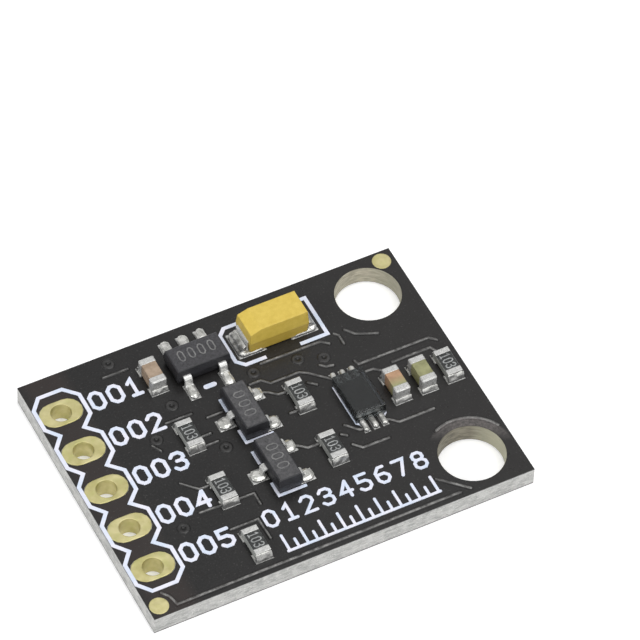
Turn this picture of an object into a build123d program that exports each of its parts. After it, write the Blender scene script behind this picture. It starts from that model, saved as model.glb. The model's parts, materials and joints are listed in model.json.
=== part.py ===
from build123d import *
from math import cos, hypot, pi, sin
import os

# A small breakout board with a six-lead ambient light sensor, its voltage regulator, two level
# shifting transistors and their resistors and capacitors. X runs along the board from the pin
# pads to the screw holes, Y runs to the rear and Z is up. The origin is at the centre of the
# underside.

os.makedirs("parts", exist_ok=True)

# Board
board_length = 20.32
board_width = 15.24
laminate_thickness = 1.0
mask_thickness = 0.05
mask_margin = 0.03
screw_hole_diameter = 3.3
screw_hole_inset_x = 2.26
screw_hole_inset_y = 2.16
fiducial_diameter = 0.97
fiducial_sides = 20
fiducial_rear_inset = (0.7, 0.6)
fiducial_front_inset = (0.54, 0.62)

# Row of plated pads for the pin header
pin_count = 5
pin_pitch = 2.54
pin_row_offset = 0.25
pin_bore_diameter = 1.04
plating_thickness = 0.04
barrel_sides = 16
pad_length = 2.2
pad_width = 1.46
pad_edge_margin = 0.17
pad_end_steps = 8

# Ridges of the mask over the copper tracks, and the dimpled collars that it forms over the vias
rear_track_inset = 1.25
rear_via_inset = 0.57
front_track_inset = 0.32
ridge_width = 0.17
ridge_height = 0.025
via_collar_diameter = 0.6
via_dimple_diameter = 0.26
via_dimple_depth = 0.06
via_collar_sides = 10
via_dimple_sides = 6

# Printed legend
ink_thickness = 0.025
ink_width = 0.2
mark_ink_width = 0.16
fine_ink_width = 0.1
edge_clearance = 0.01
regulator_dash_offset = 1.45
regulator_dash_size = (0.7, 0.27)
tantalum_bracket = (2.42, 1.24)
tantalum_bracket_corner = 0.37
tantalum_bracket_end = 0.93
transistor_mark = (0.62, 1.46, 0.62)
transistor_mark_end = 0.85
sensor_outline_reach = 1.45
sensor_outline_top = 1.2
sensor_outline_corner = 0.18

# Solder
solder_film = 0.03
lead_cover = 0.04
joint_slope = 0.14
joint_slope_share = 0.25
strap_joint_slope = 0.08
joint_corner = 0.2
joint_corner_share = 0.3
joint_hollow = 0.06
strap_joint_hollow = 0.15

# Chip resistors and capacitors, 0603 size
chip_length = 1.6
chip_width = 0.8
resistor_height = 0.45
capacitor_height = 0.8
terminal_length = 0.3
capacitor_terminal_length = 0.36
terminal_thickness = 0.03
coat_thickness = 0.04
coat_margin = 0.01
resistor_land_toe = 0.2
capacitor_land_toe = 0.16
chip_land_heel = 0.38
chip_land_width = 0.9
resistor_fillet_rise = 0.41
capacitor_fillet_rise = 0.25
capacitor_edge_slope = 0.05

# Moulded three and five lead packages
mould_taper = 8
mould_chamfer = 0.05
body_standoff = 0.1
lead_width = 0.4
lead_thickness = 0.13
lead_bend_radius = 0.1
lead_foot_length = 0.42
lead_embed = 0.15
lead_exit_length = 0.12
transistor_body = (1.3, 2.9, 0.95)
transistor_lead_reach = 0.55
transistor_pitch = 1.9
transistor_land = (0.84, 0.7)
transistor_land_toe = 0.24
regulator_body = (2.9, 1.6, 0.9)
regulator_lead_reach = 0.6
regulator_pitch = 0.95
regulator_land = (1.0, 0.52)
regulator_land_toe = 0.5

# Moulded tantalum capacitor, A size
tantalum_body = (3.42, 1.6, 1.6)
tantalum_taper = 5
tantalum_bevel_run = 0.55
tantalum_bevel_drop = 0.22
strap_width = 1.2
strap_thickness = 0.1
strap_foot_length = 0.8
strap_bend_radius = 0.14
strap_embed = 0.2
tantalum_standoff = 0.03
tantalum_land = (1.45, 1.62)
tantalum_land_toe = 0.44
tantalum_fillet_rise = 0.5

# Light sensor, clear resin over a chip on its lead frame
sensor_body = (1.6, 2.6, 0.7)
sensor_lead_reach = 0.2
sensor_pitch = 0.5
sensor_lead_width = 0.22
sensor_lead_thickness = 0.12
sensor_lead_inside = 0.3
sensor_chip = (1.3, 1.9, 0.2)
sensor_chamfer = 0.04
sensor_land = (0.85, 0.3)
sensor_land_toe = 0.46
resin_gap = 0.004

# Places of the components, from the centre of the board
regulator_place = (-1.66, 5.15)
tantalum_place = (2.53, 5.33)
sensor_place = (4.47, -0.19)
transistor_places = [(-1.0, 1.27), (-1.0, -2.25)]
resistor_places = [(-3.97, 1.28), (-3.95, -2.31), (-3.95, -5.84), (1.93, 1.2), (1.93, -2.33), (9.3, -0.27)]
capacitor_places = [(-4.03, 5.24), (6.39, -0.36), (7.84, -0.36)]
rear_track_y = board_width / 2 - rear_track_inset
front_track_y = front_track_inset - board_width / 2
via_places = [
    (-5.55, board_width / 2 - rear_via_inset), (-5.45, 1.85), (-3.87, 3.4), (-2.62, 0.0),
    (0.6, 3.5), (2.92, 3.3), (4.12, 2.85), (-6.6, -3.45),
]
track_routes = [
    [(-6.15, rear_track_y), (-4.82, rear_track_y)],
    [(-4.62, 2.55), (-3.25, 2.55)],
    [(-3.5, 1.08), (-2.93, 1.08)],
    [(-3.5, 0.5), (-2.82, 0.5)],
    [(-2.65, 2.0), (-1.85, 2.0)],
    [(-5.8, 1.6), (-5.55, 1.15)],
    [(-5.58, -1.0), (-4.9, -1.7), (-4.2, -1.7)],
    [(-5.5, -2.97), (-2.65, -3.05), (-2.65, -3.75)],
    [(-4.62, -4.5), (-3.15, -4.5), (-3.12, -5.75)],
    [(0.1, 2.92), (0.7, 2.92), (1.05, 2.56), (2.6, 2.56), (3.0, 2.3), (3.95, 1.4)],
    [(0.3, 2.3), (0.7, 2.1), (1.08, 1.78), (1.7, 1.75)],
    [(2.7, 1.8), (3.05, 1.5)],
    [(1.08, 0.5), (1.8, 0.47)],
    [(1.15, 3.84), (4.4, 3.8), (4.75, 3.5)],
    [(5.22, 3.95), (5.4, 3.75), (5.4, 3.2)],
    [(5.8, 3.95), (6.15, 3.5), (7.2, 3.05)],
    [(5.37, 2.0), (5.45, 1.74), (9.3, 1.72), (9.62, 1.42)],
    [(4.97, 1.2), (5.95, 1.17), (6.3, 0.9), (6.39, 0.4)],
    [(7.0, 1.15), (9.08, 1.15), (9.3, 0.7)],
    [(3.72, 2.5), (3.95, 2.3), (4.3, 2.22)],
    [(3.12, -1.28), (3.66, -1.86), (3.97, -1.88)],
    [(2.72, -1.72), (2.95, -1.9)],
    [(5.0, -1.8), (5.3, -1.95), (5.62, -2.27), (7.5, -2.27)],
    [(2.95, -2.5), (3.3, -2.88), (4.72, -2.9)],
    [(0.3, -1.3), (0.62, -1.5), (0.92, -1.75), (1.7, -1.75)],
    [(-9.2, -6.4), (-8.93, -6.75), (-8.8, front_track_y), (6.3, front_track_y)],
    [(5.6, -6.1), (6.85, front_track_y)],
]

# Heights of the layers, from the underside up
laminate_bottom = mask_thickness
laminate_top = laminate_bottom + laminate_thickness
board_top = laminate_top + mask_thickness
seat_height = board_top + solder_film

# Spans over the tips of the leads
transistor_span = transistor_body[0] + 2 * transistor_lead_reach
regulator_span = regulator_body[1] + 2 * regulator_lead_reach
sensor_span = sensor_body[1] + 2 * sensor_lead_reach

# Places that follow from the board's edges, with the pin pads at a margin from the left one
pin_row_inset = pad_length / 2 + pad_edge_margin
pin_row_x = -board_length / 2 + pin_row_inset
pin_places = [
    (pin_row_x, pin_row_offset + ((pin_count - 1) / 2 - i) * pin_pitch)
    for i in range(pin_count)
]
screw_hole_x = board_length / 2 - screw_hole_inset_x
screw_hole_y = board_width / 2 - screw_hole_inset_y
screw_hole_places = [(screw_hole_x, screw_hole_y), (screw_hole_x, -screw_hole_y)]
fiducial_places = {
    "fiducial_rear": (board_length / 2 - fiducial_rear_inset[0], board_width / 2 - fiducial_rear_inset[1]),
    "fiducial_front": (fiducial_front_inset[0] - board_length / 2, fiducial_front_inset[1] - board_width / 2),
}


def land_places(place, span, toe, land_length, offsets, along):
    """Centres and turn of the lands on one side: offsets run along the side, along points outwards."""
    reach = span / 2 + toe - land_length / 2
    out_x, out_y = along
    return [
        (place[0] + out_x * reach + out_y * offset, place[1] + out_y * reach + out_x * offset)
        for offset in offsets
    ]


def chip_lands(places, toe):
    return [
        spot
        for place in places
        for along in ((0, 1), (0, -1))
        for spot in land_places(place, chip_length, toe, toe + chip_land_heel, [0], along)
    ]


def transistor_lands(place):
    half = transistor_pitch / 2
    left = land_places(place, transistor_span, transistor_land_toe, transistor_land[0], [0], (-1, 0))
    right = land_places(place, transistor_span, transistor_land_toe, transistor_land[0], [-half, half], (1, 0))
    return left + right


def regulator_lands():
    rear = [-regulator_pitch, 0, regulator_pitch]
    front = [-regulator_pitch, regulator_pitch]
    args = (regulator_place, regulator_span, regulator_land_toe, regulator_land[0])
    return land_places(*args, rear, (0, 1)), land_places(*args, front, (0, -1))


def sensor_lands():
    offsets = [-sensor_pitch, 0, sensor_pitch]
    args = (sensor_place, sensor_span, sensor_land_toe, sensor_land[0])
    return land_places(*args, offsets, (0, 1)), land_places(*args, offsets, (0, -1))


def tantalum_lands():
    args = (tantalum_place, tantalum_body[0], tantalum_land_toe, tantalum_land[0], [0])
    return land_places(*args, (-1, 0)) + land_places(*args, (1, 0))


regulator_rear_lands, regulator_front_lands = regulator_lands()
sensor_rear_lands, sensor_front_lands = sensor_lands()
resistor_land_places = chip_lands(resistor_places, resistor_land_toe)
capacitor_land_places = chip_lands(capacitor_places, capacitor_land_toe)
transistor_land_places = [spot for place in transistor_places for spot in transistor_lands(place)]

# Every rectangle of bare copper that a component stands on: its width, its depth and its places
land_groups = [
    (chip_land_width, resistor_land_toe + chip_land_heel, resistor_land_places),
    (chip_land_width, capacitor_land_toe + chip_land_heel, capacitor_land_places),
    (transistor_land[0], transistor_land[1], transistor_land_places),
    (regulator_land[1], regulator_land[0], regulator_rear_lands + regulator_front_lands),
    (tantalum_land[0], tantalum_land[1], tantalum_lands()),
    (sensor_land[1], sensor_land[0], sensor_rear_lands + sensor_front_lands),
]


def stroke(points, width):
    """A line of constant width through the points, drawn in the sketch that is open."""
    trace(Wire.make_polygon(points, close=False), width)


def land_openings(margin, mode=Mode.ADD):
    """The rectangles of all lands, grown by a margin, in the sketch that is open."""
    for width, depth, places in land_groups:
        with Locations(*places):
            Rectangle(width + 2 * margin, depth + 2 * margin, mode=mode)


def pad_corners(margin):
    """Corners of a pin pad's oval, grown by a margin, with both round ends turned in straight steps."""
    radius = pad_width / 2 + margin
    centre = (pad_length - pad_width) / 2
    turns = [pi * step / pad_end_steps - pi / 2 for step in range(pad_end_steps + 1)]
    right_end = [(centre + radius * cos(turn), radius * sin(turn)) for turn in turns]
    return right_end + [(-x, -y) for x, y in right_end]


def pad_openings(margin, mode=Mode.ADD):
    """The outlines of the pin pads, grown by a margin, in the sketch that is open."""
    with Locations(*pin_places):
        Polygon(*pad_corners(margin), mode=mode)


def barrel_outline(mode=Mode.ADD):
    """The outside of a plated barrel, at the places that are open."""
    RegularPolygon(pin_bore_diameter / 2 + plating_thickness, barrel_sides, major_radius=False, mode=mode)


def finish(piece, label):
    """Names a finished piece and writes it out."""
    piece.label = label
    export_step(piece, f"parts/{label}.step")
    return piece


# Glass fibre laminate
with BuildPart() as laminate:
    with BuildSketch(Plane.XY.offset(laminate_bottom)):
        Rectangle(board_length, board_width)
        with Locations(*screw_hole_places):
            Circle(screw_hole_diameter / 2, mode=Mode.SUBTRACT)
        with Locations(*pin_places):
            barrel_outline(mode=Mode.SUBTRACT)
    extrude(amount=laminate_thickness)
finish(laminate.part, "laminate")

# Copper lands, level with the mask around them
with BuildPart() as lands:
    with BuildSketch(Plane.XY.offset(laminate_top)):
        land_openings(0)
    extrude(amount=mask_thickness)
finish(lands.part, "lands")

# Mask on the component side, with a ridge over each track and a low collar round each via
with BuildPart() as mask_top:
    with BuildSketch(Plane.XY.offset(laminate_top)):
        Rectangle(board_length, board_width)
        land_openings(mask_margin, mode=Mode.SUBTRACT)
        pad_openings(mask_margin, mode=Mode.SUBTRACT)
        with Locations(*screw_hole_places):
            Circle(screw_hole_diameter / 2 + mask_margin, mode=Mode.SUBTRACT)
        with Locations(*fiducial_places.values()):
            RegularPolygon(fiducial_diameter / 2, fiducial_sides, mode=Mode.SUBTRACT)
    extrude(amount=mask_thickness)
    with BuildSketch(Plane.XY.offset(board_top)):
        for route in track_routes:
            stroke(route, ridge_width)
        with Locations(*via_places):
            RegularPolygon(via_collar_diameter / 2, via_collar_sides)
        land_openings(mask_margin, mode=Mode.SUBTRACT)
    extrude(amount=ridge_height)
    with BuildSketch(Plane.XY.offset(board_top + ridge_height)):
        with Locations(*via_places):
            RegularPolygon(via_dimple_diameter / 2, via_dimple_sides)
    extrude(amount=-via_dimple_depth, mode=Mode.SUBTRACT)
finish(mask_top.part, "mask_top")

# Mask on the underside
with BuildPart() as mask_bottom:
    with BuildSketch(Plane.XY):
        Rectangle(board_length, board_width)
        pad_openings(mask_margin, mode=Mode.SUBTRACT)
        with Locations(*screw_hole_places):
            Circle(screw_hole_diameter / 2 + mask_margin, mode=Mode.SUBTRACT)
    extrude(amount=mask_thickness)
finish(mask_bottom.part, "mask_bottom")

# Plated pin pads: an oval flange on each face, joined by the barrel in the bore
for number, place in enumerate(pin_places, start=1):
    with BuildPart() as pin_pad:
        for flange_bottom in (0, laminate_top):
            with BuildSketch(Plane.XY.offset(flange_bottom)):
                with Locations(place):
                    Polygon(*pad_corners(0))
            extrude(amount=mask_thickness)
        with BuildSketch(Plane.XY):
            with Locations(place):
                barrel_outline()
        extrude(amount=board_top)
        with BuildSketch(Plane.XY):
            with Locations(place):
                Circle(pin_bore_diameter / 2)
        extrude(amount=board_top, mode=Mode.SUBTRACT)
    finish(pin_pad.part, f"pin_pad_{number}")

# Gold fiducial dots
for name, place in fiducial_places.items():
    with BuildPart() as fiducial:
        with BuildSketch(Plane.XY.offset(laminate_top)):
            with Locations(place):
                RegularPolygon(fiducial_diameter / 2, fiducial_sides)
        extrude(amount=mask_thickness)
    finish(fiducial.part, name)

# Printed outline round the pin pads: half an octagon on each side of each, joined where they meet
octagon_reach = pin_pitch / 2
octagon_corner = pin_pitch / 4
octagon_sides = {
    1: pin_row_inset,
    -1: pin_row_inset - ink_width / 2 - edge_clearance,
}
with BuildPart() as pin_legend:
    with BuildSketch(Plane.XY.offset(board_top)):
        for side, reach in octagon_sides.items():
            top = pin_places[0][1] + octagon_reach
            outline = [(pin_row_x, top), (pin_row_x + side * octagon_corner, top)]
            for x, y in pin_places:
                outline += [(x + side * reach, y + octagon_corner), (x + side * reach, y - octagon_corner)]
                outline += [(x + side * octagon_corner, y - octagon_reach)]
            outline += [(pin_row_x, pin_places[-1][1] - octagon_reach)]
            stroke(outline, ink_width)
    extrude(amount=ink_thickness)
finish(pin_legend.part, "pin_legend")


# Printed marks beside the components
regulator_dash = (regulator_place[0], regulator_place[1] - regulator_dash_offset)
bracket_x, bracket_y = tantalum_bracket
bracket_corner = tantalum_bracket_corner
left_bracket = [
    (-tantalum_bracket_end, bracket_y),
    (bracket_corner - bracket_x, bracket_y),
    (-bracket_x, bracket_y - bracket_corner),
    (-bracket_x, bracket_corner - bracket_y),
    (bracket_corner - bracket_x, -bracket_y),
    (-tantalum_bracket_end, -bracket_y),
]
right_bracket = [
    (tantalum_bracket_end, bracket_y),
    (bracket_x, bracket_y),
    (bracket_x, -bracket_y),
    (tantalum_bracket_end, -bracket_y),
]
side_x, side_y, mark_gap = transistor_mark
transistor_marks = [
    [(-side_x, side_y), (-side_x, mark_gap)],
    [(-side_x, -mark_gap), (-side_x, -side_y), (transistor_mark_end, -side_y)],
]
outline_x, outline_y = sensor_body[0] / 2, sensor_outline_reach
sensor_outline = [
    (-outline_x, sensor_outline_top),
    (-outline_x, sensor_outline_corner - outline_y),
    (sensor_outline_corner - outline_x, -outline_y),
]


def shifted(points, place, flip=1):
    return [(place[0] + flip * x, place[1] + y) for x, y in points]


with BuildPart() as component_legend:
    with BuildSketch(Plane.XY.offset(board_top)):
        with Locations(regulator_dash):
            SlotOverall(*regulator_dash_size)
        for line in (left_bracket, right_bracket):
            stroke(shifted(line, tantalum_place), ink_width)
        for place in transistor_places:
            for line in transistor_marks:
                stroke(shifted(line, place), mark_ink_width)
        for flip in (1, -1):
            stroke(shifted(sensor_outline, sensor_place, flip), fine_ink_width)
        land_openings(mask_margin, mode=Mode.SUBTRACT)
    extrude(amount=ink_thickness)
finish(component_legend.part, "component_legend")


def outward_plane(place, along, height):
    """An upright plane at a place: its first axis points outwards along the board, its second up."""
    return Plane(origin=(*place, height), x_dir=(*along, 0), z_dir=(along[1], -along[0], 0))


def side_spots(place, along, offsets):
    """Points on the line through a place that runs across the outward direction, each with it."""
    return [
        ((place[0] + along[1] * offset, place[1] + along[0] * offset), along) for offset in offsets
    ]


def gull_leads(label, spots, span, body_reach, rise):
    """Leads that leave the body level, turn down and end in a flat foot, one solid each."""
    tip = span / 2
    with BuildPart() as leads:
        for place, along in spots:
            with BuildSketch(outward_plane(place, along, seat_height)):
                with BuildLine():
                    FilletPolyline(
                        (body_reach - lead_embed, rise),
                        (body_reach + lead_exit_length, rise),
                        (tip - lead_foot_length, 0),
                        (tip, 0),
                        radius=(lead_bend_radius, lead_bend_radius + lead_thickness),
                    )
                    offset(amount=lead_thickness, side=Side.LEFT)
                make_face()
            extrude(amount=lead_width / 2, both=True)
    return finish(leads.part, label)


def moulded_body(label, place, size, leads):
    """A body with a parting line at half its height, drafted above and below it."""
    width, depth, height = size
    parting = board_top + body_standoff + height / 2
    with BuildPart() as body:
        for half in (height / 2, -height / 2):
            with BuildSketch(Plane.XY.offset(parting)):
                with Locations(place):
                    Rectangle(width, depth)
            extrude(amount=half, taper=mould_taper)
        chamfer(body.faces().sort_by(Axis.Z)[-1].edges(), mould_chamfer)
        add(leads, mode=Mode.SUBTRACT)
    return finish(body.part, label)


def solder_pads(label, width, depth, places, height, set_in):
    """A pillow of solder on each land, cut where what it holds is set in it."""
    corner = min(joint_corner, joint_corner_share * min(width, depth))
    slope = min(joint_slope, joint_slope_share * min(width, depth))
    with BuildPart() as joints:
        with BuildSketch(Plane.XY.offset(board_top)) as outlines:
            with Locations(*places):
                Rectangle(width, depth)
            chamfer(outlines.vertices(), corner)
        extrude(amount=height)
        chamfer(joints.faces().group_by(Axis.Z)[-1].edges(), slope)
        for held in set_in:
            add(held, mode=Mode.SUBTRACT)
    return finish(joints.part, label)


def end_joint(place, along, reach, toe, heel, rise, width, hollow):
    """A solder joint that runs under a part's end and climbs it in a hollow curve."""
    with BuildPart() as joint:
        with BuildSketch(outward_plane(place, along, seat_height)):
            with BuildLine():
                Polyline(
                    (reach, rise),
                    (reach, 0),
                    (reach - heel, 0),
                    (reach - heel, -solder_film),
                    (reach + toe, -solder_film),
                    (reach + toe, 0),
                )
                SagittaArc((reach + toe, 0), (reach, rise), -hollow * hypot(toe, rise))
            make_face()
        extrude(amount=width / 2, both=True)
    return joint.part


def chip_block(label, place, width, height):
    """The ceramic block of a chip, inside its end caps."""
    with BuildPart() as block:
        with BuildSketch(Plane.XY.offset(seat_height + terminal_thickness)):
            with Locations(place):
                Rectangle(width, chip_length - 2 * terminal_thickness)
        extrude(amount=height - 2 * terminal_thickness)
    return finish(block.part, label)


def chip_caps(label, place, height, cap_length, edge_slope, block):
    """The plated caps on both ends of a chip, one solid each."""
    with BuildPart() as caps:
        with BuildSketch(Plane.XY.offset(seat_height)):
            with Locations(place):
                Rectangle(chip_width, chip_length)
        extrude(amount=height)
        if edge_slope > 0:
            chamfer(caps.edges(), edge_slope)
        with BuildSketch(Plane.XY.offset(seat_height)):
            with Locations(place):
                Rectangle(chip_width, chip_length - 2 * cap_length)
        extrude(amount=height, mode=Mode.SUBTRACT)
        add(block, mode=Mode.SUBTRACT)
    return finish(caps.part, label)


# Transistors: one lead to the left and two to the right
transistor_leads = []
transistor_rise = (transistor_body[2] - lead_thickness) / 2 + body_standoff - solder_film
for number, place in enumerate(transistor_places, start=1):
    spots = side_spots(place, (-1, 0), [0])
    spots += side_spots(place, (1, 0), [-transistor_pitch / 2, transistor_pitch / 2])
    leads = gull_leads(
        f"transistor_{number}_leads", spots, transistor_span, transistor_body[0] / 2, transistor_rise
    )
    moulded_body(f"transistor_{number}_body", place, transistor_body, leads)
    transistor_leads.append(leads)
gull_joint_height = solder_film + lead_thickness + lead_cover
solder_pads("transistor_solder", *transistor_land, transistor_land_places, gull_joint_height, transistor_leads)

# Voltage regulator: three leads to the rear and two to the front
regulator_rise = (regulator_body[2] - lead_thickness) / 2 + body_standoff - solder_film
regulator_spots = side_spots(regulator_place, (0, 1), [-regulator_pitch, 0, regulator_pitch])
regulator_spots += side_spots(regulator_place, (0, -1), [-regulator_pitch, regulator_pitch])
regulator_leads = gull_leads(
    "regulator_leads", regulator_spots, regulator_span, regulator_body[1] / 2, regulator_rise
)
moulded_body("regulator_body", regulator_place, regulator_body, regulator_leads)
regulator_land_places = regulator_rear_lands + regulator_front_lands
solder_pads(
    "regulator_solder",
    regulator_land[1],
    regulator_land[0],
    regulator_land_places,
    gull_joint_height,
    [regulator_leads],
)

# Chip resistors: a white ceramic block, end caps over its top, end and underside, and a coat
for number, place in enumerate(resistor_places, start=1):
    label = f"resistor_{number}"
    block = chip_block(f"{label}_body", place, chip_width, resistor_height)
    chip_caps(f"{label}_ends", place, resistor_height, terminal_length, 0, block)
    with BuildPart() as coat:
        with BuildSketch(Plane.XY.offset(seat_height + resistor_height - terminal_thickness)):
            with Locations(place):
                Rectangle(chip_width - 2 * coat_margin, chip_length - 2 * terminal_length)
        extrude(amount=coat_thickness)
        chamfer(coat.faces().sort_by(Axis.Z)[-1].edges(), coat_thickness / 2)
    finish(coat.part, f"{label}_coat")

# Ceramic chip capacitors, whose caps close over all sides
for number, place in enumerate(capacitor_places, start=1):
    label = f"capacitor_{number}"
    block_width = chip_width - 2 * terminal_thickness
    block = chip_block(f"{label}_body", place, block_width, capacitor_height)
    chip_caps(
        f"{label}_ends", place, capacitor_height, capacitor_terminal_length, capacitor_edge_slope, block
    )

# Solder on the chips' ends, all resistors' joints in one node and all capacitors' in another
for label, places, toe, rise in (
    ("resistor_solder", resistor_places, resistor_land_toe, resistor_fillet_rise),
    ("capacitor_solder", capacitor_places, capacitor_land_toe, capacitor_fillet_rise),
):
    chip_size = (chip_length / 2, toe, chip_land_heel, rise, chip_land_width, joint_hollow)
    chip_joints = [end_joint(place, along, *chip_size) for place in places for along in ((0, 1), (0, -1))]
    with BuildPart() as joints:
        for joint in chip_joints:
            add(joint)
    finish(joints.part, label)

# Tantalum capacitor: two straps folded down its ends and under it
tantalum_reach = tantalum_body[0] / 2
strap_rise = tantalum_body[2] / 2
with BuildPart() as straps:
    for along in ((-1, 0), (1, 0)):
        with BuildSketch(outward_plane(tantalum_place, along, seat_height)):
            with BuildLine():
                FilletPolyline(
                    (tantalum_reach - strap_thickness - strap_embed, strap_rise),
                    (tantalum_reach, strap_rise),
                    (tantalum_reach, 0),
                    (tantalum_reach - strap_foot_length, 0),
                    radius=strap_bend_radius,
                )
                offset(amount=strap_thickness, side=Side.RIGHT)
            make_face()
        extrude(amount=strap_width / 2, both=True)
finish(straps.part, "tantalum_straps")

with BuildPart() as tantalum:
    parting = seat_height + strap_rise
    block_length = tantalum_body[0] - 2 * strap_thickness
    for half in (tantalum_body[2] - strap_rise, tantalum_standoff - strap_rise):
        with BuildSketch(Plane.XY.offset(parting)):
            with Locations(tantalum_place):
                Rectangle(block_length, tantalum_body[1])
        extrude(amount=half, taper=tantalum_taper)
    top_face = tantalum.faces().sort_by(Axis.Z)[-1]
    marked_edge = top_face.edges().sort_by(Axis.X)[0]
    chamfer(marked_edge, tantalum_bevel_run, tantalum_bevel_drop, reference=top_face)
    add(straps.part, mode=Mode.SUBTRACT)
finish(tantalum.part, "tantalum_body")

strap_joint_size = (
    tantalum_reach,
    tantalum_land_toe - strap_joint_slope,
    strap_foot_length - strap_bend_radius,
    tantalum_fillet_rise,
    strap_width,
    strap_joint_hollow,
)
strap_joints = [end_joint(tantalum_place, along, *strap_joint_size) for along in ((-1, 0), (1, 0))]
with BuildPart() as tantalum_solder:
    with BuildSketch(Plane.XY.offset(board_top)) as tantalum_outlines:
        with Locations(*tantalum_lands()):
            Rectangle(*tantalum_land)
        chamfer(tantalum_outlines.vertices(), joint_corner)
    extrude(amount=gull_joint_height)
    chamfer(tantalum_solder.faces().group_by(Axis.Z)[-1].edges(), strap_joint_slope)
    for joint in strap_joints:
        add(joint)
    add(straps.part, mode=Mode.SUBTRACT)
    add(tantalum.part, mode=Mode.SUBTRACT)
finish(tantalum_solder.part, "tantalum_solder")

# Light sensor: flat leads and the chip on its frame, moulded into clear resin
sensor_half = sensor_body[1] / 2
sensor_spots = side_spots(sensor_place, (0, 1), [-sensor_pitch, 0, sensor_pitch])
sensor_spots += side_spots(sensor_place, (0, -1), [-sensor_pitch, 0, sensor_pitch])
with BuildPart() as sensor_leads:
    for place, along in sensor_spots:
        with BuildSketch(outward_plane(place, along, seat_height)):
            with BuildLine():
                Polyline(
                    (sensor_half - sensor_lead_inside, 0),
                    (sensor_span / 2, 0),
                    (sensor_span / 2, sensor_lead_thickness),
                    (sensor_half - sensor_lead_inside, sensor_lead_thickness),
                    close=True,
                )
            make_face()
        extrude(amount=sensor_lead_width / 2, both=True)
finish(sensor_leads.part, "sensor_leads")

with BuildPart() as sensor_chip_part:
    with BuildSketch(Plane.XY.offset(seat_height)):
        with Locations(sensor_place):
            Rectangle(sensor_chip[0], sensor_chip[1])
    extrude(amount=sensor_chip[2])
finish(sensor_chip_part.part, "sensor_chip")

with BuildPart() as sensor_resin:
    with BuildSketch(Plane.XY.offset(seat_height)):
        with Locations(sensor_place):
            Rectangle(sensor_body[0], sensor_body[1])
    extrude(amount=sensor_body[2])
    chamfer(sensor_resin.faces().sort_by(Axis.Z)[-1].edges(), sensor_chamfer)
    with BuildSketch(Plane.XY.offset(seat_height)):
        with Locations(sensor_place):
            Rectangle(sensor_chip[0] + 2 * resin_gap, sensor_chip[1] + 2 * resin_gap)
    extrude(amount=sensor_chip[2] + resin_gap, mode=Mode.SUBTRACT)
    slot_start = sensor_half - sensor_lead_inside - resin_gap
    with BuildSketch(Plane.XY.offset(seat_height)):
        for place, along in sensor_spots:
            with Locations((place[0], place[1] + along[1] * (slot_start + sensor_half) / 2)):
                Rectangle(sensor_lead_width + 2 * resin_gap, sensor_half - slot_start)
    extrude(amount=sensor_lead_thickness + resin_gap, mode=Mode.SUBTRACT)
finish(sensor_resin.part, "sensor_resin")

sensor_joint_height = solder_film + sensor_lead_thickness + lead_cover
solder_pads(
    "sensor_solder",
    sensor_land[1],
    sensor_land[0],
    sensor_rear_lands + sensor_front_lands,
    sensor_joint_height,
    [sensor_leads.part, sensor_resin.part],
)
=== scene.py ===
"""Light sensor module: materials, print, solder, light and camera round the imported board.

Lengths and places are in mm. Those of the floor, the lamps and the camera are in metres.
"""
import json
import math

import bmesh
import bpy
from mathutils import Matrix, Vector, noise


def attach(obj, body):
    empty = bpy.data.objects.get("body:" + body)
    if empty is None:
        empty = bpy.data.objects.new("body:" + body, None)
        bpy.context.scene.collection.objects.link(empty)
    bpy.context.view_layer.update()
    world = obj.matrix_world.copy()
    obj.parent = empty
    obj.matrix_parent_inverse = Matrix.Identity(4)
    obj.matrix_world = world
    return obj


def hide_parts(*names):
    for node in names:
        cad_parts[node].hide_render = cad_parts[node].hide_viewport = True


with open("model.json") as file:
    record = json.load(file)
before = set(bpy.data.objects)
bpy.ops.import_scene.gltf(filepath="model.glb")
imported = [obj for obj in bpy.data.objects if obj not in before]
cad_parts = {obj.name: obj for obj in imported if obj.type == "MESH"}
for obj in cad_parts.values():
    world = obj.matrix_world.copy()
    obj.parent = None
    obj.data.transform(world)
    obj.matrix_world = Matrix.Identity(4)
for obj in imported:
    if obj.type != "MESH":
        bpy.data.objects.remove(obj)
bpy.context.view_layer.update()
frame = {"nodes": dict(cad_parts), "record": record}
nodes = frame["nodes"]
MM = 0.001

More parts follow.
